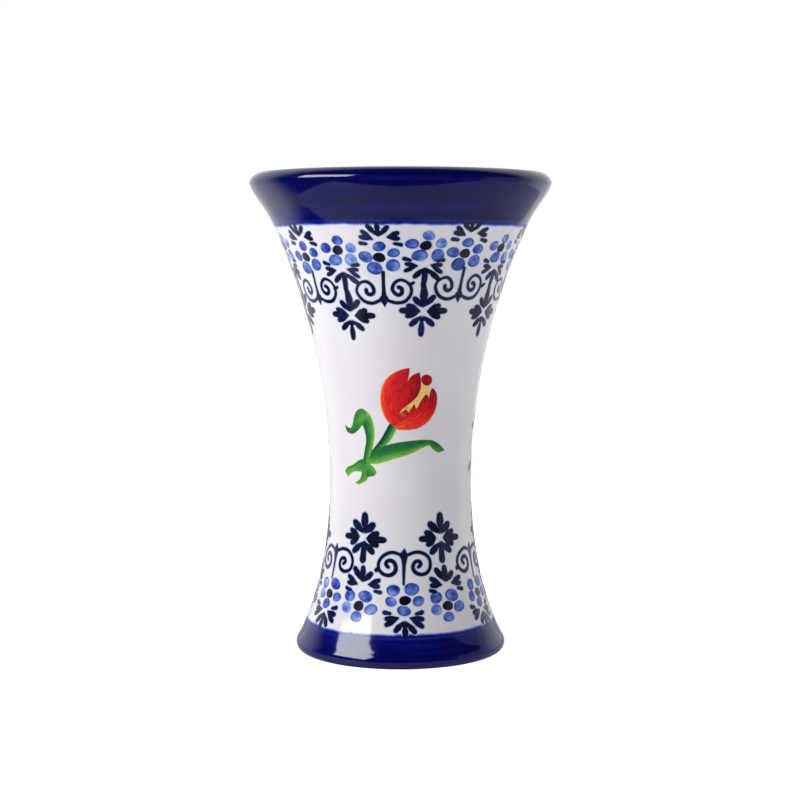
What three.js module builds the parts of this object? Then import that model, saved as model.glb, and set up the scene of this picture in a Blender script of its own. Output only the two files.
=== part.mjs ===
// A trumpet-shaped flower vase in glazed earthenware: a narrow waist between a wide
// flared mouth and a smaller flared foot, cobalt bands at lip and foot, white between.
//
// Units are millimetres. +Z is up, the axis of the vase is the Z axis, and the origin
// is the middle of the foot ring, on the surface that the vase stands on.
//
// The vase is one fired clay body under five coats of glaze. Each coat is a solid of
// its own that lies on the clay and ends where the next one begins.

import * as THREE from "three";

// ---- driving dimensions

const HEIGHT = 200;
const GLAZE = 0.5; // thickness of every glaze coat
const SEGMENTS = 48; // facets round the vase

const WAIST_RADIUS = 29.25; // of the clay, as are all radii here
const WAIST_HEIGHT = 72;
const LIP_RISE = 5.55; // from the end of the outer wall to the crest of the lip
const MOUTH_RADIUS = 61.9; // where the outer wall meets the lip
const MOUTH_HEIGHT = HEIGHT - LIP_RISE;
const MOUTH_FLARE = THREE.MathUtils.degToRad(36); // from the vertical
const FOOT_RADIUS = 43.8; // the widest point of the foot
const FOOT_HEIGHT = 3.2; // height of that point
const FOOT_FLARE = THREE.MathUtils.degToRad(20);

const LIP_WALL = 7.2; // clay thickness at the lip
const WAIST_WALL = 5; // at the waist
const WELL_RADIUS = 31.5; // inside, where the wall meets the floor's round corner
const FLOOR = 9; // height of the inner floor
const FLOOR_ROUND = 8; // radius of the corner

const SEAT_OUTER = 41.4; // the flat ring that the vase stands on
const SEAT_INNER = 36;
const RECESS = 2.2; // depth of the underside inside that ring

const LIP_BAND = 179; // lower edge of the cobalt band round the mouth
const LIP_BAND_INSIDE = 181; // its lower edge inside the mouth
const FOOT_BAND = 12.6; // upper edge of the cobalt band round the foot
const BARE_FOOT = 0.8; // the glaze stops this far above the seat

// How far each curve runs straight on from its end before it bends.
const WAIST_PULL_UP = 38;
const WAIST_PULL_DOWN = 45;
const MOUTH_PULL = 36;
const FOOT_PULL = 5;
const LIP_PULL = 3.4;
const EDGE_PULL = 1.6;

// ---- the clay's outline, as half of its section: x is radius, y is height

const at = (radius, height) => new THREE.Vector2(radius, height);

// A direction that leans out from the vertical by an angle.
const leaning = (angle) => at(Math.sin(angle), Math.cos(angle));

// A smooth run from one point to another, given the handle at each end.
function sweep(from, fromHandle, toHandle, to, steps) {
  const controls = [from, from.clone().add(fromHandle), to.clone().add(toHandle), to];
  return new THREE.CubicBezierCurve(...controls).getPoints(steps);
}

// Joins runs end to end, leaving out each point that repeats the last one.
function chain(...runs) {
  return runs.flat().filter((point, i, all) => i === 0 || point.distanceTo(all[i - 1]) > 0.01);
}

// A wall from foot to mouth through the waist. steps is how many facets it has below
// the waist and above it.
function wall(foot, waistRadius, mouth, steps) {
  const waist = at(waistRadius, WAIST_HEIGHT);
  const footHandle = leaning(-FOOT_FLARE).multiplyScalar(FOOT_PULL);
  const mouthHandle = leaning(MOUTH_FLARE).multiplyScalar(-MOUTH_PULL);
  return chain(
    sweep(foot, footHandle, at(0, -WAIST_PULL_DOWN), waist, steps.below),
    sweep(waist, at(0, WAIST_PULL_UP), mouthHandle, mouth, steps.above),
  );
}

const outerFoot = at(FOOT_RADIUS, FOOT_HEIGHT);
const outerMouth = at(MOUTH_RADIUS, MOUTH_HEIGHT);
const outerWall = wall(outerFoot, WAIST_RADIUS, outerMouth, { below: 7, above: 10 });

// The mouth's inner edge lies straight across the wall from its outer edge.
const acrossLip = leaning(MOUTH_FLARE - Math.PI / 2).multiplyScalar(LIP_WALL);
const innerFoot = at(WELL_RADIUS, FLOOR + FLOOR_ROUND);
const innerMouth = outerMouth.clone().add(acrossLip);
const innerWall = wall(innerFoot, WAIST_RADIUS - WAIST_WALL, innerMouth, { below: 4, above: 7 });

// The foot rolls under from its widest point to the seat.
const footEdge = sweep(at(SEAT_OUTER, 0), at(EDGE_PULL, 0), at(0, -EDGE_PULL), outerFoot, 3);

// The lip is a blunt round nose on the end of the flared wall.
const nose = leaning(MOUTH_FLARE).multiplyScalar(LIP_PULL);
const lip = sweep(outerWall.at(-1), nose, nose, innerWall.at(-1), 6);

// Inside, the wall turns into the floor through a round corner.
const cornerPull = FLOOR_ROUND * 0.6;
const cornerEnd = at(WELL_RADIUS - FLOOR_ROUND, FLOOR);
const floorCorner = sweep(innerFoot, at(0, -cornerPull), at(cornerPull, 0), cornerEnd, 3);
const floor = chain(floorCorner, [at(0, FLOOR)]);

// Underneath, a shallow recess inside the seat ring.
const recess = [at(0, RECESS), at(SEAT_INNER - RECESS, RECESS), at(SEAT_INNER, 0)];

// ---- the coats' shares of the outline

// Cuts a line of points in two at a height, with the cut point in both halves.
function cut(line, height) {
  const i = line.findIndex((point, k) => k > 0 && (point.y - height) * (line[k - 1].y - height) <= 0);
  const share = (height - line[i - 1].y) / (line[i].y - line[i - 1].y);
  const middle = line[i - 1].clone().lerp(line[i], share);
  return [[...line.slice(0, i), middle], [middle, ...line.slice(i)]];
}

const [bareFoot, aboveBareFoot] = cut(chain(footEdge, outerWall), BARE_FOOT);
const [footBand, aboveFootBand] = cut(aboveBareFoot, FOOT_BAND);
const [whiteWall, lipOutside] = cut(aboveFootBand, LIP_BAND);
const [lipInside, belowLip] = cut([...innerWall].reverse(), LIP_BAND_INSIDE);
const lipBand = chain(lipOutside, lip, lipInside);
const lining = chain(belowLip, floor);

// From the seat's edge over the lip to the middle of the floor.
const outline = chain(bareFoot, footBand, whiteWall, lipBand, lining);

// The outline moved out of the clay by the glaze's thickness. The clay is on the left
// of its direction of travel, and an end on the axis stays on the axis.
const glazed = outline.map((point, i) => {
  const last = outline[Math.max(i - 1, 0)];
  const next = outline[Math.min(i + 1, outline.length - 1)];
  const out = at(next.y - last.y, last.x - next.x).setLength(GLAZE);
  return point.x === 0 ? at(0, point.y + GLAZE) : point.clone().add(out);
});

// ---- solids

// Revolves a half section about the vase's axis and stands it up along +Z.
function turned(section) {
  return new THREE.LatheGeometry(section, SEGMENTS).rotateX(Math.PI / 2);
}

// The coat over one share of the outline. Its section closes on itself, or on the axis.
function coat(share) {
  const first = outline.indexOf(share[0]);
  const last = outline.indexOf(share.at(-1));
  const section = [...outline.slice(first, last + 1).reverse(), ...glazed.slice(first, last + 1)];
  return turned(section[0].x === 0 ? section : [...section, section[0]]);
}

const whiteGlaze = new THREE.MeshStandardMaterial({ color: 0xdedde4, roughness: 0.12, metalness: 0 });
const cobaltGlaze = new THREE.MeshStandardMaterial({ color: 0x10106e, roughness: 0.1, metalness: 0 });
const bareClay = new THREE.MeshStandardMaterial({ color: 0xd8c9b4, roughness: 0.85, metalness: 0 });

const vase = new THREE.Group();

function add(name, geometry, material) {
  const mesh = new THREE.Mesh(geometry, material);
  mesh.name = name;
  vase.add(mesh);
}

add("clay_body", turned(chain(recess, outline)), bareClay);
add("outer_glaze", coat(whiteWall), whiteGlaze);
add("lip_glaze", coat(lipBand), cobaltGlaze);
add("foot_glaze", coat(footBand), cobaltGlaze);
add("inner_glaze", coat(lining), whiteGlaze);

// Underneath, the coat covers the flat bottom of the recess as a disc.
const [recessMiddle, recessEdge] = recess;
const down = at(0, -GLAZE);
const underside = [recessMiddle.clone().add(down), recessEdge.clone().add(down), recessEdge, recessMiddle];
add("base_glaze", turned(underside), whiteGlaze);

export default vase;
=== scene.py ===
import math
import random

import bmesh
import bpy
import numpy as np
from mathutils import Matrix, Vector


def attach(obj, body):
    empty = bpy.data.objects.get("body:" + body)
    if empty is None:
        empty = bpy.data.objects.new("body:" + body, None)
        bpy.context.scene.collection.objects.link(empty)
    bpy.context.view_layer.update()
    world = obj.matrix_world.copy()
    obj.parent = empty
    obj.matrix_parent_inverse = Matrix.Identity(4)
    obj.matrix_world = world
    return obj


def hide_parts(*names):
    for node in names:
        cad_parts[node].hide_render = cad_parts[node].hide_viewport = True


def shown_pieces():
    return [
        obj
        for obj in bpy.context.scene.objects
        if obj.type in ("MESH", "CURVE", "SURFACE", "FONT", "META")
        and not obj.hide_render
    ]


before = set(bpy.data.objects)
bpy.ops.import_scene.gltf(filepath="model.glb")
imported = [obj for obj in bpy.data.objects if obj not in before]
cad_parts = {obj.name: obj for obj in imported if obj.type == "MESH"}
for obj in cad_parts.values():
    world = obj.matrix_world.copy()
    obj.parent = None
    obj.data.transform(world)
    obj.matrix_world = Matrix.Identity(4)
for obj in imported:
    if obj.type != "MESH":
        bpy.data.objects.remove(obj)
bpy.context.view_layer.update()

MM = 0.001
SEGMENTS = 144  # facets round the turned pieces

# ---------------------------------------------------------------- the vase's outline
# Read from the rings of the CAD coats, as (radius, height) in mm, and smoothed.


def rings(node):
    """Every ring of vertices of a turned CAD node."""
    found = []
    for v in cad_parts[node].data.vertices:
        ring = (math.hypot(v.co.x, v.co.y) / MM, v.co.z / MM)
        if all(math.dist(ring, other) > 0.05 for other in found):
            found.append(ring)
    return found


CLAY = rings("clay_body")


def face_of(coat):
    """The rings on the outer face of a coat: those that the clay under it doesn't share."""
    return [p for p in rings(coat) if min(math.dist(p, q) for q in CLAY) > 0.1]


def round_the_lip(point):
    """Order of the lip's rings: anticlockwise in section, from underneath."""
    return (math.atan2(point[1] - LIP_MIDDLE[1], point[0] - LIP_MIDDLE[0]) + 2.1) % math.tau


foot_face = sorted(face_of("foot_glaze"), key=lambda p: p[1])
white_face = sorted(face_of("outer_glaze"), key=lambda p: p[1])
lip_face = face_of("lip_glaze")
LIP_MIDDLE = np.mean(lip_face, axis=0)
lip_face.sort(key=round_the_lip)
inner_face = sorted(face_of("inner_glaze"), key=lambda p: (-round(p[1], 1), -p[0]))


def natural_spline(knots, step):
    """Points about a step apart on the natural cubic spline through the knots."""
    knots = np.array(knots)
    t = np.concatenate([[0], np.cumsum(np.linalg.norm(np.diff(knots, axis=0), axis=1))])
    n, h = len(t), np.diff(t)
    system, right = np.eye(n), np.zeros((n, 2))
    for i in range(1, n - 1):
        system[i, i - 1 : i + 2] = h[i - 1], 2 * (h[i - 1] + h[i]), h[i]
        right[i] = 6 * ((knots[i + 1] - knots[i]) / h[i] - (knots[i] - knots[i - 1]) / h[i - 1])
    bend = np.linalg.solve(system, right)
    where = np.linspace(0, t[-1], round(t[-1] / step) + 1)
    i = np.clip(np.searchsorted(t, where, side="right") - 1, 0, n - 2)
    a = ((t[i + 1] - where) / h[i])[:, None]
    b = 1 - a
    curve = (a**3 - a) * bend[i] + (b**3 - b) * bend[i + 1]
    return a * knots[i] + b * knots[i + 1] + curve * (h[i] ** 2 / 6)[:, None]


# The rings where one coat meets the next lie on the facets, not on the curve, so the
# spline leaves them out. The floor of the inside is flat and joins on as a straight line.
knots = foot_face[:-1] + white_face[1:-1] + lip_face[1:-1] + inner_face[1:-1]
outline = natural_spline(knots, 0.9)
along = np.gradient(outline, axis=0)
facing = np.stack([along[:, 1], -along[:, 0]], axis=1)
facing /= np.linalg.norm(facing, axis=1)[:, None]


def nearest(point):
    """Index of the outline's point nearest to a ring."""
    return int(np.argmin(np.linalg.norm(outline - np.array(point), axis=1)))


FOOT_TOP = nearest(white_face[0])
WHITE_TOP = nearest(white_face[-1])
LIP_END = nearest(inner_face[0])
WALL_TOP = int(np.argmax(outline[:, 0]))  # the outer wall's last point, on the lip
FOOT_LINE, LIP_LINE = outline[FOOT_TOP, 1], outline[WHITE_TOP, 1]  # where the bands end


def wall_at(height):
    """Radius of the outer wall at heights in mm, and its outward direction there."""
    z, wall = outline[:WALL_TOP, 1], outline[:WALL_TOP, 0]
    lean = [np.interp(height, z, facing[:WALL_TOP, k]) for k in (0, 1)]
    return np.interp(height, z, wall), lean[0], lean[1]


# ---------------------------------------------------------------- node materials


class Shader:
    """A procedural material: nodes by kind, with their settings and linked inputs."""

    def __init__(self, name):
        self.material = bpy.data.materials.new(name)
        self.material.use_nodes = True
        self.tree = self.material.node_tree
        self.surface = self.tree.nodes["Principled BSDF"]

    def add(self, kind, inputs=(), **settings):
        node = self.tree.nodes.new(kind)
        for name, value in settings.items():
            setattr(node, name, value)
        for socket, value in dict(inputs).items():
            if isinstance(value, bpy.types.NodeSocket):
                self.tree.links.new(value, node.inputs[socket])
            else:
                node.inputs[socket].default_value = value
        return node

    def place(self):
        return self.add("ShaderNodeTexCoord").outputs["Object"]

    def attribute(self, name):
        return self.add("ShaderNodeAttribute", attribute_name=name).outputs

    def scaled(self, vector, scale):
        inputs = {"Vector": vector, "Scale": scale}
        return self.add("ShaderNodeMapping", inputs).outputs["Vector"]

    def noise(self, vector, scale, detail=2.0):
        inputs = {"Vector": vector, "Scale": scale, "Detail": detail}
        return self.add("ShaderNodeTexNoise", inputs).outputs["Fac"]

    def math(self, operation, a, b):
        return self.add("ShaderNodeMath", {0: a, 1: b}, operation=operation).outputs[0]

    def spread(self, value, low, high, to_low=0.0, to_high=1.0):
        """A smooth step of value between low and high."""
        inputs = {"Value": value, "From Min": low, "From Max": high, "To Min": to_low, "To Max": to_high}
        node = self.add("ShaderNodeMapRange", inputs, interpolation_type="SMOOTHSTEP")
        return node.outputs["Result"]

    def mix(self, share, a, b):
        node = self.add("ShaderNodeMix", data_type="RGBA")
        for socket, value in ((node.inputs[0], share), (node.inputs[6], a), (node.inputs[7], b)):
            if isinstance(value, bpy.types.NodeSocket):
                self.tree.links.new(value, socket)
            else:
                socket.default_value = value
        return node.outputs[2]

    def ramp(self, value, stops):
        node = self.add("ShaderNodeValToRGB", {"Fac": value})
        elements = node.color_ramp.elements
        while len(elements) < len(stops):
            elements.new(0.5)
        for element, (position, colour) in zip(elements, stops):
            element.position, element.color = position, colour
        return node.outputs["Color"]

    def white_ground(self):
        """The white glaze's colour: cool white with faint clouds of grey-violet."""
        place = self.place()
        clouds = self.spread(self.noise(place, 34.0), 0.3, 0.7)
        white = self.mix(clouds, (0.765, 0.742, 0.772, 1), (0.72, 0.69, 0.735, 1))
        grain = self.spread(self.noise(place, 900.0, 3.0), 0.66, 0.8)
        return self.mix(self.math("MULTIPLY", grain, 0.25), white, (0.62, 0.61, 0.66, 1))

    def glossy(self, colour, roughness, ripple):
        """Glaze gloss over a colour, with a faint unevenness in the surface."""
        self.tree.links.new(colour, self.surface.inputs["Base Color"])
        self.surface.inputs["Roughness"].default_value = roughness
        self.surface.inputs["IOR"].default_value = 1.52
        height = self.noise(self.place(), 95.0, 3.0)
        inputs = {"Height": height, "Strength": ripple, "Distance": 0.0006}
        bump = self.add("ShaderNodeBump", inputs).outputs["Normal"]
        self.tree.links.new(bump, self.surface.inputs["Normal"])
        return self.material


def white_glaze():
    s = Shader("white_glaze")
    return s.glossy(s.white_ground(), 0.13, 0.1)


def cobalt_glaze(name, thin_from, thin_to, blue):
    """Cobalt brushed on in rings. From one height, in mm, to the other it thins out and
    brightens. blue is the strength of its colour."""
    s = Shader(name)
    place = s.place()
    strokes = s.noise(s.scaled(place, (14, 14, 520)), 1.0, 4.0)
    blotches = s.noise(s.scaled(place, (60, 60, 120)), 1.0)
    tone = s.math("ADD", s.math("MULTIPLY", strokes, 0.75), s.math("MULTIPLY", blotches, 0.35))
    deep = s.ramp(
        tone,
        [
            (0.35, (0.0006, 0.0006, 0.56 * blue, 1)),
            (0.55, (0.0008, 0.0008, blue, 1)),
            (0.75, (0.004, 0.005, 1.9 * blue, 1)),
        ],
    )
    height = s.add("ShaderNodeSeparateXYZ", {0: place}).outputs["Z"]
    thin = s.spread(height, thin_from * MM, thin_to * MM)
    colour = s.mix(s.math("MULTIPLY", thin, 0.8), deep, (0.012, 0.03, 0.3, 1))
    return s.glossy(colour, 0.09, 0.16)


def bare_clay():
    s = Shader("bare_clay")
    place = s.place()
    body = s.mix(s.noise(place, 160.0, 4.0), (0.6, 0.5, 0.38, 1), (0.74, 0.66, 0.55, 1))
    pores = s.spread(s.noise(place, 1500.0, 2.0), 0.62, 0.72)
    s.tree.links.new(s.mix(pores, body, (0.42, 0.33, 0.24, 1)), s.surface.inputs["Base Color"])
    s.surface.inputs["Roughness"].default_value = 0.9
    inputs = {"Height": s.noise(place, 1800.0, 4.0), "Strength": 0.4, "Distance": 0.0003}
    bump = s.add("ShaderNodeBump", inputs)
    s.tree.links.new(bump.outputs["Normal"], s.surface.inputs["Normal"])
    return s.material


def paint(name, stops, streaks, bleed, clouds, thin_rim=0.0):
    """Paint under the gloss. Its tone is the mesh's, moved by brush streaks and by clouds
    where it dried unevenly. A mark's soft surround fades from the bleed colour to white."""
    s = Shader(name)
    brush = s.attribute("brush")["Vector"]
    hairs = s.noise(s.scaled(brush, (2.6, 0.35, 7.0)), 1.0, 3.0)
    pools = s.noise(s.scaled(brush, (0.34, 0.34, 7.0)), 1.0, 1.0)
    tone = s.attribute("tone")["Fac"]
    tone = s.math("ADD", tone, s.math("MULTIPLY", s.math("SUBTRACT", hairs, 0.5), streaks))
    tone = s.math("ADD", tone, s.math("MULTIPLY", s.math("SUBTRACT", pools, 0.5), clouds))
    rim = s.attribute("rim")["Fac"]
    tone = s.math("ADD", tone, s.spread(rim, 0.0, 0.3, thin_rim, 0.0))
    colour = s.ramp(tone, stops)
    soft = s.mix(s.spread(rim, 0.0, 0.6, 0.0, 0.85), s.white_ground(), bleed)
    return s.glossy(s.mix(s.attribute("surround")["Fac"], colour, soft), 0.13, 0.1)


def band_edges():
    """Cobalt that thins out over the white at a band's edge."""
    s = Shader("band_edges")
    fade = s.attribute("fade")["Fac"]
    uneven = s.math("MULTIPLY", s.math("SUBTRACT", s.noise(s.place(), 260.0, 2.0), 0.5), 0.5)
    fade = s.math("ADD", fade, uneven)
    blue = s.ramp(
        fade,
        [
            (0.1, (0.001, 0.001, 0.07, 1)),
            (0.32, (0.015, 0.04, 0.36, 1)),
            (0.5, (0.09, 0.17, 0.6, 1)),
            (0.75, (0.45, 0.55, 0.82, 1)),
        ],
    )
    return s.glossy(s.mix(s.spread(fade, 0.55, 0.95), blue, s.white_ground()), 0.13, 0.1)


WHITE = white_glaze()
BAND_EDGE = band_edges()
LIP_COBALT = cobalt_glaze("lip_cobalt", LIP_LINE + 1.8, LIP_LINE + 0.1, 0.074)
FOOT_COBALT = cobalt_glaze("foot_cobalt", FOOT_LINE - 1.8, FOOT_LINE - 0.1, 0.095)
CLAY_BARE = bare_clay()
NAVY = paint(
    "navy_strokes",
    [(0.1, (0.003, 0.004, 0.014, 1)), (0.45, (0.007, 0.01, 0.045, 1)), (0.85, (0.018, 0.036, 0.19, 1))],
    0.4,
    (0.3, 0.45, 0.78, 1),
    0.5,
    0.35,
)
WASH = paint(
    "petal_wash",
    [
        (0.05, (0.01, 0.024, 0.2, 1)),
        (0.35, (0.035, 0.075, 0.38, 1)),
        (0.62, (0.1, 0.18, 0.55, 1)),
        (0.95, (0.27, 0.38, 0.74, 1)),
    ],
    0.22,
    (0.4, 0.52, 0.82, 1),
    1.5,
)
TULIP = paint(
    "tulip_strokes",
    [
        (0.0, (0.87, 0.62, 0.2, 1)),
        (0.18, (0.9, 0.26, 0.03, 1)),
        (0.4, (0.9, 0.065, 0.02, 1)),
        (0.68, (0.7, 0.016, 0.018, 1)),
        (1.0, (0.26, 0.004, 0.012, 1)),
    ],
    0.75,
    (0.85, 0.55, 0.45, 1),
    0.1,
)
LEAF = paint(
    "leaf_strokes",
    [
        (0.0, (0.42, 0.6, 0.16, 1)),
        (0.25, (0.14, 0.4, 0.06, 1)),
        (0.55, (0.035, 0.22, 0.04, 1)),
        (0.8, (0.008, 0.11, 0.05, 1)),
        (1.0, (0.002, 0.05, 0.055, 1)),
    ],
    0.45,
    (0.6, 0.72, 0.4, 1),
    0.2,
)

# ---------------------------------------------------------------- turned pieces


def finish_mesh(name, bm, material, stands_for):
    mesh = bpy.data.meshes.new(name)
    bm.to_mesh(mesh)
    bm.free()
    mesh.polygons.foreach_set("use_smooth", [True] * len(mesh.polygons))
    mesh.materials.append(material)
    piece = bpy.data.objects.new(name, mesh)
    bpy.context.scene.collection.objects.link(piece)
    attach(piece, "root")
    if stands_for:
        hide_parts(stands_for)
    return piece


def turned(name, section, material, stands_for):
    """Revolves a closed section, in mm, about the vase's axis."""
    bm = bmesh.new()
    loops = []
    for radius, height in section:
        if radius < 1e-3:
            loops.append([bm.verts.new((0, 0, height * MM))] * SEGMENTS)
            continue
        loop = []
        for k in range(SEGMENTS):
            a = k * math.tau / SEGMENTS
            loop.append(bm.verts.new((radius * math.cos(a) * MM, radius * math.sin(a) * MM, height * MM)))
        loops.append(loop)
    closed = section[0][0] >= 1e-3
    pairs = zip(loops, loops[1:] + (loops[:1] if closed else []))
    for low, high in pairs:
        for k in range(SEGMENTS):
            m = (k + 1) % SEGMENTS
            corners = list(dict.fromkeys([low[k], low[m], high[m], high[k]]))
            if len(corners) > 2:
                bm.faces.new(corners)
    bmesh.ops.recalc_face_normals(bm, faces=bm.faces)
    return finish_mesh(name, bm, material, stands_for)


COAT = 0.45  # thickness of a coat here, a little under the CAD's, so that it clears the clay


def coat(first, last):
    """The closed section of a coat over the outline from one index to another."""
    face = outline[first : last + 1]
    back = face - facing[first : last + 1] * COAT
    return [tuple(p) for p in face] + [tuple(p) for p in back[::-1]]


turned("foot_band", coat(0, FOOT_TOP), FOOT_COBALT, "foot_glaze")
turned("white_body", coat(FOOT_TOP, WHITE_TOP), WHITE, "outer_glaze")
turned("lip_band", coat(WHITE_TOP, LIP_END), LIP_COBALT, "lip_glaze")

floor_height = inner_face[-1][1]
inner = coat(LIP_END, len(outline) - 1)
half = len(inner) // 2
lining = inner[:half] + [(0.0, floor_height), (0.0, floor_height - COAT)] + inner[half:]
lining = lining[half + 1 :] + lining[: half + 1]
turned("lining", lining, WHITE, "inner_glaze")

recess_rings = sorted(rings("base_glaze"), key=lambda p: (-p[1], p[0]))
recess_bottom, recess_edge = recess_rings[-1][1], recess_rings[-1][0]
recess_top = recess_rings[0][1]
bevel = 0.2
underside = [(0.0, recess_bottom)]
underside += [(recess_edge * k / 12, recess_bottom) for k in range(1, 12)]
underside += [(recess_edge - bevel, recess_bottom), (recess_edge, recess_bottom + bevel)]
underside += [(recess_edge, recess_top), (0.0, recess_top)]
turned("base_disc", underside, WHITE, "base_glaze")

# The clay shows as the ring it stands on. Its seat comes from the CAD rings below the
# glaze, and the rest of its section follows the coats 0.5 mm deep.
clay_skin = outline - facing * 0.5
seat = sorted([p for p in CLAY if p[1] < 0.9 and p[0] > 38], key=lambda p: (p[1], p[0]))
inner_seat = [p for p in CLAY if p[1] < 0.1 and p[0] < 38]
section = [(0.0, recess_top + 0.01), (recess_edge + 0.01, recess_top + 0.01)]
section += inner_seat + seat + [tuple(p) for p in clay_skin[2:]] + [(0.0, floor_height - 0.5)]
turned("bare_clay_foot", section, CLAY_BARE, "clay_body")

# Narrow edges stay crisp, and faces smooth.
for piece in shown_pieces():
    piece.data.set_sharp_from_angle(angle=math.radians(50))

# ---------------------------------------------------------------- paint on the wall

EDGE = 0.12  # how far in from its edge a mark reaches its full thickness, mm
UNDER = -0.03  # the edge itself lies just under the glaze
STROKE_LIFT = 0.07  # of strokes and flowers, over the glaze
WASH_LIFT = 0.04  # of petals and leaves
EDGE_LIFT = 0.02  # of the bands' edges
BLEED = 0.55  # width of the soft surround
LOADED = 1.2  # how much wider than its nominal width a loaded brush paints a line
PARTING = 0.37  # what sets one mark's brush streaks apart from the next one's


def smooth_line(points, step):
    """A centripetal Catmull-Rom curve through points, as samples about a step apart."""
    p = np.array(points, float)
    if len(p) == 2:
        fine = np.linspace(p[0], p[1], 24)
    else:
        p = np.vstack([2 * p[0] - p[1], p, 2 * p[-1] - p[-2]])
        t = np.concatenate([[0], np.cumsum(np.linalg.norm(np.diff(p, axis=0), axis=1) ** 0.5)])
        fine = []
        for i in range(1, len(p) - 2):
            for w in np.linspace(t[i], t[i + 1], 24, endpoint=i == len(p) - 3):
                a = [blend_to(p[k], p[k + 1], t[k], t[k + 1], w) for k in (i - 1, i, i + 1)]
                b = [blend_to(a[k], a[k + 1], t[i - 1 + k], t[i + 1 + k], w) for k in (0, 1)]
                fine.append(blend_to(b[0], b[1], t[i], t[i + 1], w))
        fine = np.array(fine)
    s = np.concatenate([[0], np.cumsum(np.linalg.norm(np.diff(fine, axis=0), axis=1))])
    where = np.linspace(0, s[-1], max(3, round(s[-1] / step) + 1))
    return np.stack([np.interp(where, s, fine[:, k]) for k in (0, 1)], axis=1)


def blend_to(a, b, ta, tb, t):
    return a * (tb - t) / (tb - ta) + b * (t - ta) / (tb - ta)


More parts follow.
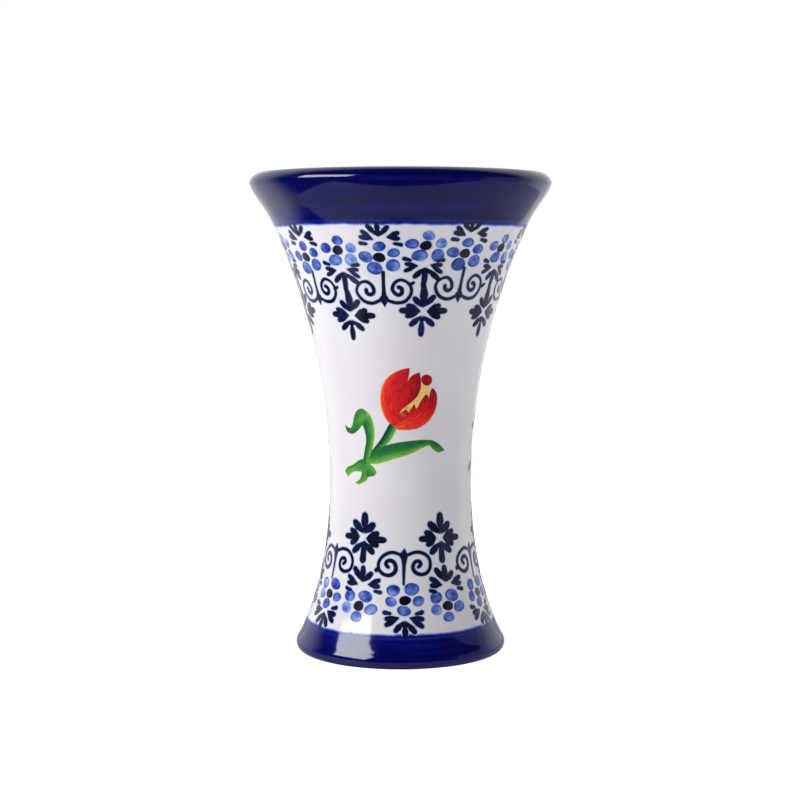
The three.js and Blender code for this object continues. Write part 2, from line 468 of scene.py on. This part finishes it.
class Painting:
    """Marks of thin paint on the outer wall, drawn in mm about a point of it: x runs round
    the wall to the right, y runs up. Later marks lie over earlier ones."""

    def __init__(self, azimuth, height, lift, rise):
        self.azimuth, self.height, self.lift = math.radians(azimuth), height, lift
        self.rise = rise  # height gained on the vase for each mm of y
        self.rows = []  # of each vertex: x, y, lift, across, along, seed, tone, rim, surround
        self.faces = []
        self.marks = 0

    def grid(self, rows, wrap=False):
        """Joins rows of equally many vertices into quads."""
        start, width = len(self.rows), len(rows[0])
        for row in rows:
            self.rows += row
        for i in range(len(rows) - 1):
            for k in range(width if wrap else width - 1):
                a, b = start + i * width + k, start + i * width + (k + 1) % width
                self.faces.append((a, b, b + width, a + width))

    def patch(self, left, right, tone, surround=False):
        """A mark between two edges, given as equally many points each. tone is called
        with how far across (-1 to 1) and how far along (0 to 1) a point is."""
        seed, top = self.next_mark(surround)
        gap = np.linalg.norm(left - right, axis=1)
        columns = max(2, math.ceil(gap.max() / 1.2))
        middle = (left + right) / 2
        run = np.concatenate([[0], np.cumsum(np.linalg.norm(np.diff(middle, axis=0), axis=1))])
        rows = []
        for i in range(len(left)):
            edge = min(0.3, (BLEED if surround else EDGE) / max(gap[i], 0.01))
            shares = [0.0] + [edge + (1 - 2 * edge) * k / columns for k in range(columns + 1)] + [1.0]
            row = []
            for share in shares:
                x, y = left[i] + (right[i] - left[i]) * share
                across, v = 2 * share - 1, run[i] / run[-1]
                rim = min(share, 1 - share) * gap[i]
                ends = i in (0, len(left) - 1)
                lift = UNDER if share in (0.0, 1.0) or ends else top
                brush = (across * gap[i] / 2, run[i], seed)
                row.append((x, y, lift, *brush, tone(across, v), rim, float(surround)))
            rows.append(row)
        self.grid(rows)

    def next_mark(self, surround):
        """A seed for the next mark's streaks, and its lift: each lies over the one before."""
        self.marks += 1
        seed = self.marks * PARTING + self.azimuth
        if surround:
            return seed, self.lift * 0.4 + self.marks * 0.0005
        return seed, self.lift + self.marks * 0.002

    def stroke(self, points, halves, tone, surround=False):
        """A brush stroke along points with round ends. halves are its half widths, evenly
        spread from end to end."""
        line = smooth_line(points, 0.6)
        run = np.concatenate([[0], np.cumsum(np.linalg.norm(np.diff(line, axis=0), axis=1))])
        half = np.interp(run / run[-1], np.linspace(0, 1, len(halves)), halves)
        ahead = np.gradient(line, axis=0)
        ahead /= np.linalg.norm(ahead, axis=1)[:, None]
        if surround:
            half = half + BLEED
        cap = np.radians([90, 78, 55, 28])
        stations = list(zip(line, half, ahead))
        for end, sign in ((0, -1), (-1, 1)):
            middle, reach, way = line[end], half[end], ahead[end]
            turn = [(middle + sign * way * reach * math.sin(a), reach * math.cos(a), way) for a in cap]
            stations = turn + stations if end == 0 else stations + turn[::-1]
        left = np.array([p + np.array((-d[1], d[0])) * w for p, w, d in stations])
        right = np.array([p - np.array((-d[1], d[0])) * w for p, w, d in stations])
        self.patch(left, right, tone, surround)

    def oval(self, centre, size, turn, tone, surround=False):
        """An oval dab. size is its full width and height."""
        seed, top = self.next_mark(surround)
        grown = BLEED if surround else 0.0
        rx, ry = size[0] / 2 + grown, size[1] / 2 + grown
        edge = (BLEED if surround else EDGE) / min(rx, ry)
        cos, sin = math.cos(turn), math.sin(turn)
        rows = []
        for share in (0.02, 0.3, 0.55, 0.8 * (1 - edge) + 0.05, 1 - edge, 1.0):
            row = []
            for k in range(28):
                angle = math.tau * k / 28
                wobble = 1 + 0.04 * math.sin(2 * angle + seed * 9)
                wobble += 0.025 * math.sin(3 * angle + seed * 17)
                u, v = rx * share * wobble * math.cos(angle), ry * share * wobble * math.sin(angle)
                x, y = centre[0] + u * cos - v * sin, centre[1] + u * sin + v * cos
                lift = UNDER if share == 1.0 else top
                rim = (1 - share) * min(rx, ry)
                row.append((x, y, lift, u, v, seed, tone(share, angle), rim, float(surround)))
            rows.append(row)
        self.grid(rows[::-1], wrap=True)

    def build(self, name, material):
        """Lays the marks on the wall, shaded as the glaze under them."""
        data = np.array(self.rows)
        height = self.height + data[:, 1] * self.rise
        # Surrounds end short of the bands, and marks where a band covers them.
        surround_height = np.clip(height, FOOT_LINE + 0.4, LIP_LINE - 0.4)
        mark_height = np.clip(height, FOOT_LINE - 1.0, LIP_LINE + 0.1)
        height = np.where(data[:, 8] > 0.5, surround_height, mark_height)
        radius, lean_out, lean_up = wall_at(height)
        angle = self.azimuth + data[:, 0] / radius
        lift = data[:, 2]
        out = radius + lean_out * lift
        x, y, z = out * np.sin(angle), -out * np.cos(angle), height + lean_up * lift
        bm = bmesh.new()
        brush = bm.verts.layers.float_vector.new("brush")
        tone = bm.verts.layers.float.new("tone")
        rim = bm.verts.layers.float.new("rim")
        surround = bm.verts.layers.float.new("surround")
        corners = []
        for i, row in enumerate(self.rows):
            v = bm.verts.new((x[i] * MM, y[i] * MM, z[i] * MM))
            v[brush] = Vector(row[3:6])
            v[tone], v[rim], v[surround] = row[6:9]
            corners.append(v)
        for face in self.faces:
            u, v = data[list(face), 0], data[list(face), 1]
            outward = np.dot(u, np.roll(v, -1)) > np.dot(v, np.roll(u, -1))
            bm.faces.new([corners[k] for k in (face if outward else face[::-1])])
        bmesh.ops.remove_doubles(bm, verts=bm.verts, dist=2e-6)
        piece = finish_mesh(name, bm, material, None)
        piece.data.normals_split_custom_set_from_vertices(glaze_normals(piece))
        return piece


# Rows of a band's edge: distance from it in mm, lift, and how far the cobalt has faded.
BAND_FADE = [
    (-1.0, UNDER, 0.0),
    (-0.6, EDGE_LIFT, 0.05),
    (0.0, EDGE_LIFT, 0.32),
    (0.5, EDGE_LIFT, 0.62),
    (1.3, EDGE_LIFT, 1.0),
    (1.6, UNDER, 1.1),
]


def band_edge(name, line, away, seed):
    """The brushed edge of a cobalt band: it thins to a bright line, and that to white.
    away is the direction from the band, 1 for up."""
    bm = bmesh.new()
    fade = bm.verts.layers.float.new("fade")
    loops = []
    for distance, lift, share in BAND_FADE:
        loop = []
        for k in range(2 * SEGMENTS):
            a = k * math.pi / SEGMENTS
            sway = 0.16 * math.sin(2 * a + seed) + 0.12 * math.sin(5 * a + 2 * seed)
            sway += 0.07 * math.sin(13 * a + 3 * seed)
            height = line + away * (distance + 0.3) + sway
            radius, lean_out, lean_up = wall_at(height)
            radius, height = radius + lean_out * lift, height + lean_up * lift
            v = bm.verts.new((radius * math.sin(a) * MM, -radius * math.cos(a) * MM, height * MM))
            v[fade] = share
            loop.append(v)
        loops.append(loop)
    if away < 0:
        loops.reverse()
    for low, high in zip(loops, loops[1:]):
        for k in range(len(low)):
            m = (k + 1) % len(low)
            bm.faces.new((low[k], low[m], high[m], high[k]))
    piece = finish_mesh(name, bm, BAND_EDGE, None)
    piece.data.normals_split_custom_set_from_vertices(glaze_normals(piece))


def glaze_normals(piece):
    """The glaze's outward direction under each vertex of a mark."""
    normals = []
    for v in piece.data.vertices:
        radius, out_share, up_share = wall_at(v.co.z / MM)
        flat = math.hypot(v.co.x, v.co.y)
        normals.append((v.co.x / flat * out_share, v.co.y / flat * out_share, up_share))
    return normals


band_edge("foot_band_edge", FOOT_LINE, 1, 0.7)
band_edge("lip_band_edge", LIP_LINE, -1, 2.3)

# ---------------------------------------------------------------- the borders' motifs
# Each motif is drawn about its own origin, in mm. A fan is brush strokes that share an
# apex: (apex, ends, half width). A line is (points, half widths). A petal is
# (centre, (width, height), turn in degrees, tone).

UPPER_PLANT = {
    "fans": [
        ((0.1, -1.8), [(-4.9, -6.2), (-0.1, -10.7), (5.4, -6.4)], 1.0),
        ((-0.5, -0.1), [(-6.7, 2.5), (-9.3, 0.3), (-6.9, -2.4)], 1.15),
        ((1.7, -0.2), [(7.7, 2.5), (10.8, 0.0), (7.8, -2.8)], 1.15),
        ((0.0, 1.3), [(-4.0, 6.0), (5.1, 6.6)], 1.05),
        ((-0.1, 18.1), [(-4.7, 13.7), (6.2, 12.8)], 1.0),
        ((-2.9, 18.7), [(-8.4, 19.4), (-8.4, 16.5)], 0.8),
        ((1.8, 19.1), [(7.2, 18.8), (7.2, 15.6)], 0.8),
    ],
    "lines": [
        ([(0.2, 2.6), (0.4, 6.8), (0.0, 10.4)], [0.9, 1.5, 0.9]),
        ([(-0.2, 10.8), (0.0, 13.2), (0.1, 16.6)], [0.9, 1.05, 1.1]),
        ([(-5.5, 10.9), (-4.4, 11.6)], [0.7, 0.6]),
        ([(-8.6, 21.6), (-6.2, 21.0)], [0.75, 0.6]),
        ([(4.7, 20.7), (7.0, 21.0)], [0.6, 0.75]),
    ],
    "petals": [
        ((0.3, 30.7), (4.9, 3.5), 0, 0.5),
        ((-6.0, 27.6), (5.0, 3.8), -8, 0.45),
        ((5.6, 27.8), (4.3, 3.6), 10, 0.75),
        ((-2.6, 22.8), (6.0, 4.5), 4, 0.5),
        ((4.7, 22.9), (5.2, 4.8), -10, 0.65),
    ],
    "heart": ((-0.6, 26.9), (5.1, 3.8), 3),
}

UPPER_SCROLL = {
    "fans": [
        ((-0.9, 26.0), [(-5.7, 31.2), (-1.3, 32.2), (3.6, 30.6)], 0.92),
        ((-2.8, 24.8), [(-7.9, 28.5), (-8.8, 26.2)], 0.85),
        ((2.2, 25.8), [(7.7, 27.8), (7.7, 25.1)], 0.85),
    ],
    "lines": [
        (
            [
                (-1.2, 0.2), (-5.0, -1.1), (-8.7, 0.0), (-11.1, 3.5), (-10.9, 5.7), (-9.3, 7.3),
                (-6.8, 7.7), (-4.6, 5.9), (-4.0, 3.5), (-5.3, 2.4), (-6.8, 3.0), (-7.1, 4.3),
            ],
            [0.6, 0.65, 0.6, 0.55, 0.6, 0.7, 0.75],
        ),
        (
            [
                (1.2, 0.2), (4.7, -0.9), (8.2, -0.3), (10.7, 3.0), (10.5, 6.2), (8.8, 8.0), (6.5, 8.5),
                (4.3, 7.1), (3.5, 4.8), (4.3, 3.0), (5.9, 2.3), (7.2, 3.5), (6.9, 5.1), (6.0, 5.4),
            ],
            [0.6, 0.65, 0.6, 0.55, 0.6, 0.7, 0.75],
        ),
        ([(0.0, 0.4), (0.0, 4.0), (0.2, 11.4)], [1.1, 0.65, 0.6, 0.7]),
        ([(0.0, 0.4), (0.1, -2.0)], [1.6, 0.35]),
        ([(-8.2, 23.5), (-6.0, 23.2)], [0.75, 0.6]),
        ([(5.4, 23.3), (7.8, 22.8)], [0.6, 0.75]),
    ],
    "petals": [
        ((-0.7, 22.0), (5.1, 3.7), 0, 0.4),
        ((-6.6, 18.0), (5.3, 4.0), -12, 0.4),
        ((4.8, 19.5), (4.8, 3.6), 8, 0.5),
        ((-3.0, 13.2), (6.3, 4.8), -6, 0.45),
        ((4.3, 14.4), (5.5, 4.8), 6, 0.45),
    ],
    "heart": ((-1.1, 17.6), (5.3, 3.8), -3),
}

LOWER_PLANT = {
    "fans": [
        ((0.2, 0.9), [(-5.4, 6.4), (0.0, 10.3), (4.9, 5.9)], 1.35),
        ((-1.8, -0.3), [(-7.1, 2.7), (-9.8, -0.5), (-6.8, -3.5)], 1.15),
        ((0.9, -0.6), [(6.9, 2.1), (10.2, -1.1), (6.8, -3.8)], 1.15),
        ((0.0, -2.0), [(-5.1, -7.0), (5.2, -6.9)], 1.15),
        ((0.9, -18.6), [(-3.8, -12.4), (0.6, -11.6), (5.0, -14.3)], 1.1),
        ((-0.9, -19.7), [(-6.6, -16.2), (-6.8, -19.3)], 0.95),
        ((3.2, -19.3), [(9.0, -17.0), (9.0, -20.0)], 0.95),
    ],
    "lines": [
        ([(0.3, -3.0), (0.2, -6.5), (0.2, -9.4)], [1.0, 1.15, 1.3]),
        ([(-6.4, -21.5), (-4.4, -22.0)], [0.75, 0.6]),
        ([(7.0, -21.8), (9.0, -22.2)], [0.6, 0.75]),
    ],
    "petals": [
        ((-4.4, -24.4), (5.2, 4.6), 20, 0.55),
        ((3.1, -24.0), (6.2, 4.5), -14, 0.5),
        ((-5.3, -29.1), (4.5, 4.0), -10, 0.6),
        ((6.1, -29.0), (5.3, 4.1), 8, 0.5),
        ((0.0, -32.2), (5.1, 3.8), 0, 0.45),
    ],
    "heart": ((0.4, -28.0), (5.0, 4.0), 2),
}

LOWER_SCROLL = {
    "fans": [
        ((0.0, -26.1), [(-4.4, -30.9), (0.1, -33.6), (4.6, -31.6)], 1.0),
        ((-1.9, -25.1), [(-8.3, -25.8), (-8.2, -28.3)], 0.95),
        ((1.7, -25.1), [(8.2, -26.2), (7.8, -29.3)], 0.95),
    ],
    "lines": [
        (
            [
                (-1.3, -0.2), (-4.8, 0.8), (-7.8, -0.3), (-10.2, -2.8), (-10.4, -5.7), (-8.7, -8.0),
                (-5.9, -8.5), (-3.7, -7.0), (-3.4, -4.6), (-4.7, -2.7), (-6.6, -2.7), (-7.5, -4.1),
                (-6.6, -5.2),
            ],
            [0.6, 0.65, 0.6, 0.65, 0.75, 0.75, 0.7],
        ),
        (
            [
                (1.3, -0.2), (4.8, 0.8), (7.8, 0.3), (10.3, -1.8), (11.0, -4.6), (10.0, -7.2),
                (7.4, -8.3), (4.6, -7.3), (3.6, -5.2), (4.5, -3.2), (6.2, -2.9), (7.0, -4.1),
                (6.0, -5.2),
            ],
            [0.6, 0.65, 0.6, 0.65, 0.7, 0.7, 0.7],
        ),
        ([(0.0, -0.2), (0.1, 1.8)], [1.6, 0.45]),
        ([(0.0, -0.6), (0.0, -3.0), (-0.1, -7.5), (-0.2, -12.0)], [1.3, 0.65, 0.55, 0.45]),
        ([(-11.3, -6.6), (-10.7, -5.9)], [0.8, 0.7]),
        ([(-8.0, -23.2), (-5.9, -23.6)], [0.85, 0.6]),
        ([(4.8, -23.7), (7.0, -23.3)], [0.6, 0.85]),
    ],
    "petals": [
        ((-4.4, -14.5), (5.1, 4.3), 8, 0.5),
        ((3.0, -14.1), (6.0, 4.5), -6, 0.4),
        ((-5.4, -19.1), (4.6, 3.9), 0, 0.6),
        ((5.8, -18.9), (4.7, 3.8), 4, 0.55),
        ((-0.3, -22.4), (5.1, 3.7), 0, 0.4),
    ],
    "heart": ((0.3, -18.4), (5.0, 3.8), 0),
}


def unsteady(rng, point, reach):
    return (point[0] + rng.uniform(-reach, reach), point[1] + rng.uniform(-reach, reach))


def draw_motif(name, motif, azimuth, height, rise, rng, reach):
    """Paints one motif: its strokes as one piece, and its petals as another."""
    lines = []
    for points, halves in motif["lines"]:
        points = [unsteady(rng, point, reach * 0.6) for point in points]
        lines.append((points, [half * LOADED for half in halves]))
    fans = []
    for apex, ends, half in motif["fans"]:
        apex = unsteady(rng, apex, reach * 0.5)
        fans.append((apex, [unsteady(rng, end, reach) for end in ends], half * rng.uniform(1.14, 1.26)))
    petals = []
    for centre, size, turn, tone in motif["petals"]:
        size = (size[0] * rng.uniform(1.03, 1.15), size[1] * rng.uniform(1.03, 1.15))
        turn = math.radians(turn + rng.uniform(-8, 8))
        petals.append((unsteady(rng, centre, reach), size, turn, tone + rng.uniform(-0.12, 0.12)))
    heart, heart_size, heart_turn = motif["heart"]
    heart = unsteady(rng, heart, reach * 0.6)

    strokes = Painting(azimuth, height, STROKE_LIFT, rise)
    for soft in (True, False):
        for points, halves in lines:
            strokes.stroke(points, halves, flat_tone(rng.uniform(0.25, 0.5)), soft)
        for apex, ends, half in fans:
            draw_fan(strokes, apex, ends, half, flat_tone(rng.uniform(0.2, 0.5)), soft)
    strokes.oval(heart, heart_size, math.radians(heart_turn), flat_tone(0.18))
    strokes.build(name + "_strokes", NAVY)

    wash = Painting(azimuth, height, WASH_LIFT, rise)
    for soft in (True, False):
        for centre, size, turn, tone in petals:
            wash.oval(centre, size, turn, petal_tone(tone), soft)
    wash.build(name + "_petals", WASH)


def flat_tone(tone):
    return lambda across, along: tone


def petal_tone(tone):
    """Paint pools at a petal's rim and a little in its middle."""
    return lambda share, angle: tone + 0.06 - 0.28 * share**5 - 0.1 * (1 - share) ** 2


def draw_fan(painting, apex, ends, half, tone, soft):
    apex = np.array(apex)
    for end in ends:
        way = np.array(end) - apex
        length = np.linalg.norm(way)
        tip = apex + way * (1 - half / length)
        points = [apex + way * 0.08, (apex + tip) / 2, tip]
        painting.stroke(points, [0.25, half * 0.7, half * 1.1, half * 0.92], tone, soft)
    if soft:
        return
    # The strokes run together towards the apex.
    shares = np.linspace(0.12, 0.54, 7)[:, None]
    left = apex + (np.array(ends[0]) - apex) * shares
    right = apex + (np.array(ends[-1]) - apex) * shares
    painting.patch(left, right, tone)


def spread_round(front, count):
    """Azimuths of a border's motifs: the given ones, then the rest evenly round the back."""
    start, stop = front[-1], front[0] + 360
    rest = count - len(front)
    return front + [start + (stop - start) * (k + 1) / (rest + 1) for k in range(rest)]


def draw_border(name, motif, front, count, heights, rise, rng):
    """Paints a border: motifs at the front azimuths and heights, and the rest of them
    round the back. rise is the height gained on the vase for each mm of a motif."""
    for i, azimuth in enumerate(spread_round(front, count)):
        seen = i < len(front)
        height = heights[i] if seen else np.mean(heights) + rng.uniform(-0.8, 0.8)
        draw_motif(f"{name}_{i + 1}", motif, azimuth, height, rise, rng, 0.15 if seen else 0.3)


UPPER_REPEATS = 8
LOWER_REPEATS = 6
UPPER_RISE = 0.962  # the flare foreshortens what is painted on it
LOWER_RISE = 0.99

hand = random.Random(11)
upper_plants = ([-30.2, 12.3, 56.7], UPPER_REPEATS, [142.3, 144.1, 143.3], UPPER_RISE)
upper_scrolls = ([-52.2, -8.9, 33.5], UPPER_REPEATS, [148.5, 148.3, 149.9], UPPER_RISE)
lower_plants = ([-29.1, 31.9], LOWER_REPEATS, [51.7, 51.5], LOWER_RISE)
lower_scrolls = ([-57.1, 2.6, 65.2], LOWER_REPEATS, [44.8, 45.1, 44.5], LOWER_RISE)
draw_border("upper_plant", UPPER_PLANT, *upper_plants, hand)
draw_border("upper_scroll", UPPER_SCROLL, *upper_scrolls, hand)
draw_border("lower_plant", LOWER_PLANT, *lower_plants, hand)
draw_border("lower_scroll", LOWER_SCROLL, *lower_scrolls, hand)

# ---------------------------------------------------------------- the tulips
# Edges of each mark from its base to its tip, in mm about the tulip's middle.

HEAD = [
    # the yellow inside
    (
        [(-1.0, 3.7), (0.6, 5.8), (3.0, 7.6), (5.9, 10.0), (8.2, 14.0), (9.2, 16.5)],
        [(0.6, 1.5), (4.0, 3.5), (8.5, 6.5), (10.5, 10.5), (11.8, 12.5), (12.4, 15.6)],
        "inside",
    ),
    # small inner petals
    (
        [(-3.4, -1.0), (-1.8, 2.1), (-0.2, 4.6), (2.4, 5.9)],
        [(-3.0, -1.3), (-0.2, 0.8), (2.2, 2.9), (3.1, 4.7), (2.4, 5.9)],
        "small",
    ),
    (
        [(-3.0, -1.1), (-0.2, 1.2), (2.6, 4.1), (4.7, 7.0), (5.6, 8.4)],
        [(-2.6, -1.7), (1.4, 0.8), (4.7, 3.3), (6.3, 5.7), (5.6, 8.4)],
        "small",
    ),
    (
        [(-2.6, -1.5), (1.0, 1.2), (3.9, 3.7), (6.7, 6.6), (8.8, 10.2), (10.4, 12.1)],
        [(-2.0, -2.5), (2.2, -0.8), (6.7, 2.0), (10.1, 5.6), (11.7, 9.3), (11.4, 11.4), (10.4, 12.1)],
        "right",
    ),
    # the outer petal on the right
    (
        [(-1.8, -2.3), (2.2, -0.6), (6.7, 2.2), (10.1, 6.0), (11.6, 10.1), (12.2, 13.0), (13.2, 14.8)],
        [
            (-1.4, -2.7), (3.0, -2.9), (7.2, -2.2), (11.4, 0.5), (14.3, 4.5), (15.4, 9.1), (15.0, 12.4),
            (13.2, 14.8),
        ],
        "right",
    ),
    # the middle petal and the big one on the left
    (
        [(-3.5, -0.9), (-2.6, 2.9), (-1.0, 8.3), (1.0, 13.7), (3.0, 17.9), (4.9, 20.0), (7.7, 21.2)],
        [
            (-2.6, -0.9), (-1.2, 2.9), (0.8, 5.8), (4.0, 8.3), (6.8, 11.1), (8.3, 14.8), (8.2, 18.6),
            (7.7, 21.2),
        ],
        "middle",
    ),
    (
        [
            (-3.9, -0.8), (-5.9, 1.6), (-7.6, 5.3), (-8.2, 9.4), (-7.9, 13.6), (-6.3, 17.6),
            (-3.2, 20.6), (0.6, 22.4), (3.8, 23.1),
        ],
        [(-2.6, -0.9), (-2.0, 2.9), (-0.6, 7.5), (1.2, 12.5), (2.6, 16.6), (3.4, 19.9), (3.8, 23.1)],
        "left",
    ),
]
BUD = ((10.7, 17.8), (4.7, 4.8))

GREEN = [
    # stem
    (
        [(-11.9, -11.6), (-8.2, -6.8), (-4.2, 0.4)],
        [(-9.0, -11.4), (-4.8, -8.2), (-0.7, -1.0)],
        "stem",
    ),
    # the leaf on the right, and its folded tip
    (
        [
            (-15.0, -14.4), (-12.4, -11.6), (-7.2, -9.6), (-1.0, -8.0), (5.1, -7.2), (9.7, -7.0),
            (12.6, -7.6),
        ],
        [
            (-15.2, -15.8), (-11.5, -17.3), (-8.0, -16.7), (-3.1, -15.1), (3.1, -13.2), (7.2, -11.4),
            (11.6, -9.3),
        ],
        "blade",
    ),
    (
        [(10.0, -7.0), (13.7, -7.5), (17.0, -9.5), (19.4, -12.0)],
        [(10.4, -9.4), (12.0, -9.6), (13.8, -11.4), (16.2, -12.7), (19.4, -12.0)],
        "fold",
    ),
    # the leaf on the left, and the hook that it folds over into
    (
        [(-16.0, -15.8), (-15.1, -11.0), (-14.5, -7.6), (-14.9, -4.3), (-16.0, -1.4), (-18.2, 2.0)],
        [
            (-13.4, -15.9), (-11.9, -11.6), (-10.9, -7.4), (-10.7, -3.2), (-11.6, 0.9), (-13.6, 4.4),
            (-16.4, 5.7),
        ],
        "upright",
    ),
    (
        [
            (-13.8, 3.9), (-16.1, 5.8), (-18.9, 4.7), (-20.4, 1.6), (-21.0, -1.3), (-22.2, -2.8),
            (-24.0, -2.4), (-25.2, -1.2),
        ],
        [
            (-15.2, -0.3), (-16.7, -1.8), (-18.5, -3.7), (-21.0, -5.2), (-23.2, -5.0), (-24.9, -3.5),
            (-25.2, -1.2),
        ],
        "hook",
    ),
    # the foot of the plant: an arm to the left, and two short feet
    (
        [(-14.6, -14.8), (-17.6, -15.8), (-21.0, -18.0), (-24.6, -19.6), (-26.0, -21.4)],
        [(-13.0, -20.0), (-17.0, -20.8), (-19.5, -20.8), (-21.8, -21.6), (-24.0, -23.6)],
        "root",
    ),
    (
        [(-16.6, -15.2), (-16.8, -19.0), (-16.7, -21.6), (-17.6, -23.9), (-20.0, -25.6)],
        [(-12.4, -16.4), (-12.6, -20.0), (-13.4, -22.6), (-14.6, -24.4), (-18.2, -26.4)],
        "root",
    ),
    (
        [(-14.6, -22.9), (-12.6, -22.6), (-10.9, -22.1), (-9.9, -20.8)],
        [(-14.8, -17.0), (-12.9, -17.4), (-11.4, -18.3), (-9.9, -20.4)],
        "root",
    ),
]

TONES = {
    "inside": lambda u, v: 0.02,
    "small": lambda u, v: 0.62 + 0.3 * v,
    "right": lambda u, v: 0.42 + 0.55 * v - 0.5 * max(0.0, u - 0.5) * (1 - v),
    "middle": lambda u, v: 0.68 + 0.28 * v + 0.12 * u,
    "left": lambda u, v: 0.6 + 0.2 * v + 0.1 * u - 1.0 * max(0.0, -u - 0.55) * (1 - 0.6 * v),
    "stem": lambda u, v: 0.66 - 0.5 * u,
    "blade": lambda u, v: 0.62 - 0.5 * max(u, -0.2),
    "fold": lambda u, v: 0.6 - 0.15 * u,
    "upright": lambda u, v: 0.55 - 0.35 * u,
    "hook": lambda u, v: 0.32 + 0.25 * abs(u) + 0.35 * v,
    "root": lambda u, v: 0.34 + 0.2 * (1 - v) - 0.15 * u,
}


def resampled(points, count):
    """The smooth line through points as count evenly spaced samples."""
    line = smooth_line(points, 0.3)
    share = np.linspace(0, len(line) - 1, count)
    return np.stack([np.interp(share, range(len(line)), line[:, k]) for k in (0, 1)], axis=1)


def draw_marks(painting, marks):
    edges = [(resampled(left, 34), resampled(right, 34), kind) for left, right, kind in marks]
    for left, right, kind in edges:
        if kind != "inside":
            across = left - right
            across /= np.maximum(np.linalg.norm(across, axis=1), 0.4)[:, None]
            painting.patch(left + across * BLEED, right - across * BLEED, TONES[kind], surround=True)
    for left, right, kind in edges:
        painting.patch(left, right, TONES[kind])


TULIP_HEIGHT = 98.6
TULIP_RISE = 0.985

for k, azimuth in enumerate((0.0, 120.0, 240.0)):
    green = Painting(azimuth, TULIP_HEIGHT, WASH_LIFT, TULIP_RISE)
    draw_marks(green, GREEN)
    green.build(f"tulip_leaves_{k + 1}", LEAF)
    head = Painting(azimuth, TULIP_HEIGHT, STROKE_LIFT, TULIP_RISE)
    draw_marks(head, HEAD)
    head.oval(*BUD, 0.0, lambda share, angle: 0.85 + 0.1 * share)
    head.build(f"tulip_flower_{k + 1}", TULIP)

# ---------------------------------------------------------------- camera, light, floor

scene = bpy.context.scene
scene.view_settings.view_transform = "Standard"

camera = bpy.data.objects.new("camera", bpy.data.cameras.new("camera"))
camera.data.lens = 75
camera.data.sensor_width = 36
camera.location = (-0.0002, -0.7, 0.167)
camera.rotation_euler = (math.radians(90 - 5.04), 0, 0)
scene.collection.objects.link(camera)
scene.camera = camera


def softbox(name, azimuth, elevation, distance, width, height, power):
    """A rectangular light that faces the vase, seen only in its light and reflections."""
    lamp = bpy.data.lights.new(name, "AREA")
    lamp.shape = "RECTANGLE"
    lamp.size, lamp.size_y, lamp.energy = width, height, power
    light = bpy.data.objects.new(name, lamp)
    a, e = math.radians(azimuth), math.radians(elevation)
    way = Vector((math.sin(a) * math.cos(e), -math.cos(a) * math.cos(e), math.sin(e)))
    light.location = Vector((0, 0, 0.08)) + way * distance
    light.rotation_euler = way.to_track_quat("Z", "Y").to_euler()
    light.visible_camera = False
    scene.collection.objects.link(light)
    return light


softbox("key", -60, 30, 1.2, 0.85, 0.5, 13)
softbox("side_panel", 86, 0, 1.3, 1.1, 1.0, 0.9)
softbox("fill", 75, 8, 1.3, 1.1, 1.2, 5.4).visible_glossy = False

world = bpy.data.worlds.new("studio")
scene.world = world
world.use_nodes = True
nodes, links = world.node_tree.nodes, world.node_tree.links
background = nodes["Background"]
coordinates = nodes.new("ShaderNodeTexCoord")
split = nodes.new("ShaderNodeSeparateXYZ")
links.new(coordinates.outputs["Generated"], split.inputs[0])
behind = nodes.new("ShaderNodeMapRange")
behind.interpolation_type = "SMOOTHSTEP"
behind.inputs["From Min"].default_value = 0.15
behind.inputs["From Max"].default_value = 0.6
behind.inputs["To Min"].default_value = 0.03
behind.inputs["To Max"].default_value = 0.9
links.new(split.outputs["Y"], behind.inputs["Value"])
seen_straight = nodes.new("ShaderNodeLightPath")
brightness = nodes.new("ShaderNodeMath")
brightness.operation = "MAXIMUM"
links.new(behind.outputs["Result"], brightness.inputs[0])
links.new(seen_straight.outputs["Is Camera Ray"], brightness.inputs[1])
background.inputs["Color"].default_value = (1, 1, 1, 1)
links.new(brightness.outputs[0], background.inputs["Strength"])

floor_shader = Shader("white_table")
speckle = floor_shader.noise(floor_shader.place(), 3.0)
tint = floor_shader.mix(speckle, (0.44, 0.44, 0.445, 1), (0.47, 0.47, 0.47, 1))
floor_shader.tree.links.new(tint, floor_shader.surface.inputs["Base Color"])
floor_shader.surface.inputs["Roughness"].default_value = 0.7
floor_shader.surface.inputs["Emission Color"].default_value = (1, 1, 1, 1)
seen = floor_shader.add("ShaderNodeLightPath").outputs["Is Camera Ray"]
glow = floor_shader.math("ADD", floor_shader.math("MULTIPLY", seen, 0.3), 0.6)
floor_shader.tree.links.new(glow, floor_shader.surface.inputs["Emission Strength"])


def level_plane(name, low, high, material):
    """A staged rectangle at table height between two corners, in metres."""
    corners = [(low[0], low[1], 0), (high[0], low[1], 0), (high[0], high[1], 0), (low[0], high[1], 0)]
    mesh = bpy.data.meshes.new(name)
    mesh.from_pydata(corners, [], [(0, 1, 2, 3)])
    mesh.materials.append(material)
    plane = bpy.data.objects.new(name, mesh)
    scene.collection.objects.link(plane)
    return plane


floor = level_plane("table", (-4.0, -4.0), (4.0, 4.0), floor_shader.material)
floor.visible_glossy = False

# The glaze mirrors only the lit middle of the table, which ends short of the camera.
sheen = bpy.data.materials.new("table_sheen")
sheen.use_nodes = True
sheen_surface = sheen.node_tree.nodes["Principled BSDF"]
sheen_surface.inputs["Base Color"].default_value = (0, 0, 0, 1)
sheen_surface.inputs["Emission Color"].default_value = (0.97, 0.97, 1, 1)
sheen_surface.inputs["Emission Strength"].default_value = 0.4
card = level_plane("lit_table", (-0.25, -0.19), (0.45, 0.6), sheen)
card.location.z = 0.001
for ray in ("camera", "diffuse", "transmission", "shadow"):
    setattr(card, "visible_" + ray, False)
